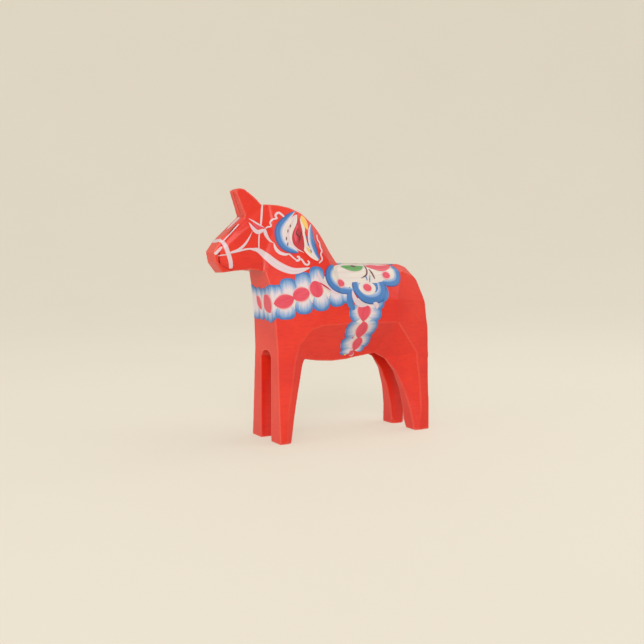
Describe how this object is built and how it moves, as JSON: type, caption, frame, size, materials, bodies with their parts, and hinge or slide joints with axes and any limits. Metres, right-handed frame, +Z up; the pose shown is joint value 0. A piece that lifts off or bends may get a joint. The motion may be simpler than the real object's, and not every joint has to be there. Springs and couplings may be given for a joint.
{
  "type": "painted wooden horse figure",
  "caption": "Standing dala horse carved from a glued-up pine blank: core board, left and right side boards and hidden dowels, resting flat on its feet.",
  "frame": {"origin": "on the ground, under the middle of the horse's box", "axes": "+Z up, the horse looks along -Y, its left side is +X"},
  "size_m": [0.077, 0.238, 0.25],
  "materials": {
    "red_lacquered_pine": "brush-painted orange-red with a clear gloss lacquer over it",
    "beech": "bare turned beech",
    "brush_decoration": "brush-painted ornament in white, blue, pink, yellow and green under the same gloss lacquer"
  },
  "bodies": {
    "root": {"core_board": "red_lacquered_pine", "left_side_board": "red_lacquered_pine", "right_side_board": "red_lacquered_pine", "dowel_neck": "beech", "dowel_shoulder": "beech", "dowel_belly": "beech", "dowel_rump": "beech"}
  },
  "joints": []
}
